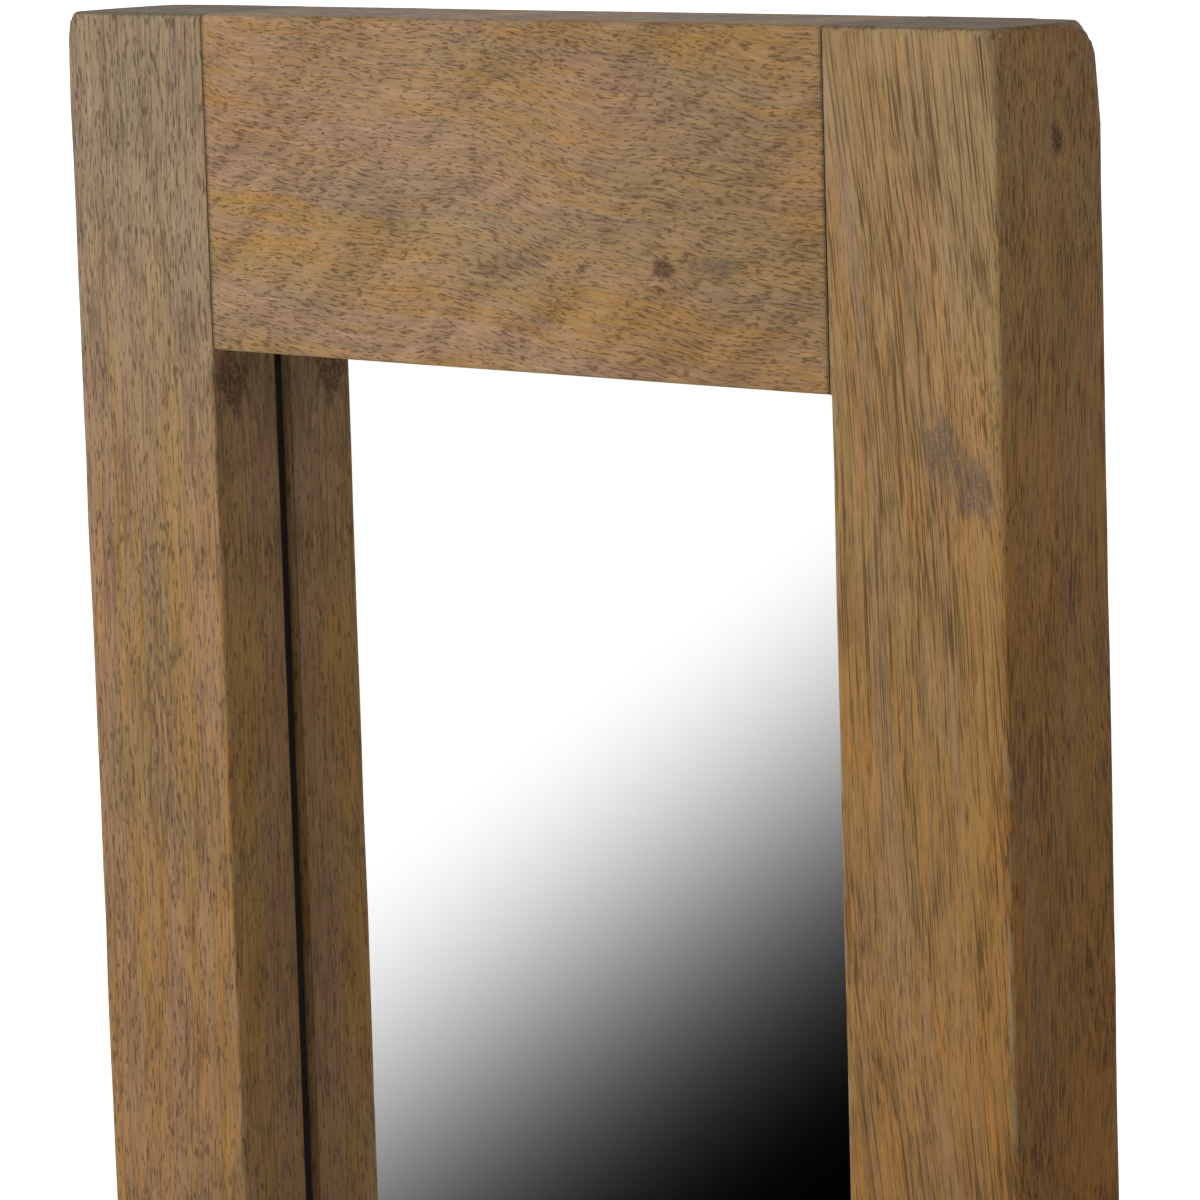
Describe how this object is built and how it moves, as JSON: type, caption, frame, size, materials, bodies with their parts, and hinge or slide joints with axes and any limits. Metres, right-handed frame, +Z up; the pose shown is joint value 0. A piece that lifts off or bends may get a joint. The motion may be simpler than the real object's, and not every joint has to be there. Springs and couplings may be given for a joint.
{
  "type": "cheval floor mirror",
  "caption": "Tall full-length dressing mirror in a thick solid-wood frame that tilts between two posts on splayed feet, with clamping knobs.",
  "frame": {"origin": "on the floor, below the middle of the mirror", "axes": "+X to the right as seen from in front of the glass, +Y to the back, so the glass faces -Y, and +Z up"},
  "size_m": [0.5564, 0.48, 1.655],
  "materials": {
    "frame_wood": "solid mango wood, open pores, satin wax",
    "stand_wood": "solid mango wood, open pores, satin wax",
    "knob_wood": "turned darker wood, satin wax",
    "dowel_wood": "bare beech",
    "mirror_glass": "silvered plate glass",
    "panel_board": "brown hardboard, smooth face",
    "packing_board": "raw fibreboard",
    "black_felt": "thin black felt",
    "pad_felt": "pressed brown felt",
    "leather": "vegetable-tanned, cut edge",
    "brass": "aged satin brass",
    "steel": "dull zinc-plated steel"
  },
  "bodies": {
    "stand": {"stretcher": "stand_wood", "post_left": "stand_wood", "post_right": "stand_wood", "foot_left": "stand_wood", "foot_right": "stand_wood", "tenon_peg_left": "dowel_wood", "tenon_peg_right": "dowel_wood", "foot_pad_front_left": "pad_felt", "foot_pad_front_right": "pad_felt", "foot_pad_back_left": "pad_felt", "foot_pad_back_right": "pad_felt", "pivot_bush_left": "brass", "pivot_bush_right": "brass", "knob_washer_left": "brass", "knob_washer_right": "brass", "stretcher_bolt_left": "steel", "stretcher_bolt_right": "steel", "bolt_plug_left": "knob_wood", "bolt_plug_right": "knob_wood", "stretcher_dowel_left": "dowel_wood", "stretcher_dowel_right": "dowel_wood", "barrel_nut_left": "steel", "barrel_nut_right": "steel"},
    "mirror": {"frame_rail_bottom": "frame_wood", "frame_rail_top": "frame_wood", "frame_stile_left": "frame_wood", "frame_stile_right": "frame_wood", "frame_dowel_top_left_upper": "dowel_wood", "frame_dowel_top_left_lower": "dowel_wood", "frame_dowel_top_right_upper": "dowel_wood", "frame_dowel_top_right_lower": "dowel_wood", "frame_dowel_bottom_left_upper": "dowel_wood", "frame_dowel_bottom_left_lower": "dowel_wood", "frame_dowel_bottom_right_upper": "dowel_wood", "frame_dowel_bottom_right_lower": "dowel_wood", "mirror_glass": "mirror_glass", "glass_cushion_left": "black_felt", "glass_cushion_right": "black_felt", "glass_cushion_top": "black_felt", "glass_cushion_bottom": "black_felt", "packing_strip_left": "packing_board", "packing_strip_right": "packing_board", "back_panel": "panel_board", "panel_screw_top": "steel", "panel_screw_bottom": "steel", "panel_screw_left_upper": "steel", "panel_screw_left_middle": "steel", "panel_screw_left_lower": "steel", "panel_screw_right_upper": "steel", "panel_screw_right_middle": "steel", "panel_screw_right_lower": "steel", "pivot_insert_left": "brass", "pivot_insert_right": "brass", "friction_washer_left": "leather", "friction_washer_right": "leather"},
    "knob_assembly_left": {"knob_left": "knob_wood", "pivot_stud_left": "steel"},
    "knob_assembly_right": {"knob_right": "knob_wood", "pivot_stud_right": "steel"}
  },
  "joints": [
    {"name": "mirror_tilt", "type": "hinge", "parent": "stand", "child": "mirror", "pos_m": [0, 0, 0.93], "axis": [1, 0, 0], "continuous": true},
    {"name": "knob_left_turn", "type": "hinge", "parent": "mirror", "child": "knob_assembly_left", "pos_m": [-0.2642, 0, 0.93], "axis": [-1, 0, 0], "range_deg": [0, 360]},
    {"name": "knob_right_turn", "type": "hinge", "parent": "mirror", "child": "knob_assembly_right", "pos_m": [0.2642, 0, 0.93], "axis": [1, 0, 0], "range_deg": [0, 360]}
  ]
}
